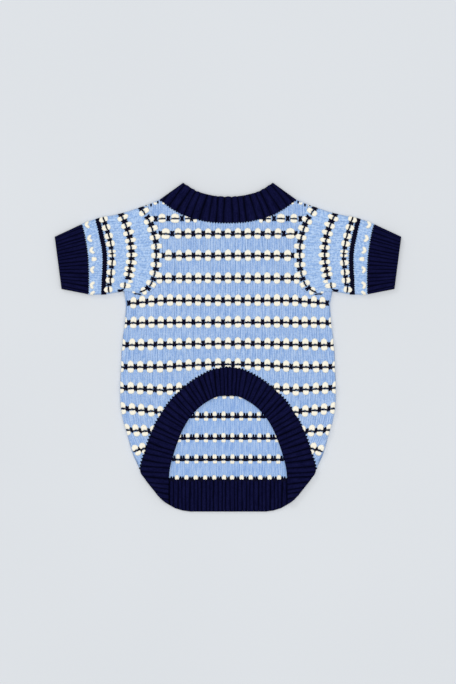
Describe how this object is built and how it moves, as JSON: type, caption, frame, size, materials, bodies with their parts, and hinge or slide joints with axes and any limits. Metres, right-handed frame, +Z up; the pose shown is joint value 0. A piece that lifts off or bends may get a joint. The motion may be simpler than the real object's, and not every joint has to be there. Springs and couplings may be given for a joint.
{
  "type": "dog sweater",
  "caption": "Knitted dog sweater laid flat belly side up, with short sleeves, rib collar and cuffs, striped body, and a rib band round the belly arch.",
  "frame": {"origin": "on the ground, at the middle of the flat outline", "axes": "+Y towards the neck, +X to the right as seen from above, +Z up from the ground"},
  "size_m": [0.319, 0.3024, 0.0059],
  "materials": {
    "blue_knit": "soft heathered light blue knit",
    "cream_yarn": "plump cream stitches",
    "navy_yarn": "matt navy stitches",
    "navy_rib": "matt navy rib knit"
  },
  "bodies": {
    "root": {"back_panel": "blue_knit", "front_panel": "blue_knit", "sleeve_left": "blue_knit", "sleeve_right": "blue_knit", "collar": "navy_rib", "cuff_left": "navy_rib", "cuff_right": "navy_rib", "belly_band": "navy_rib", "hem_band": "navy_rib"}
  },
  "joints": []
}
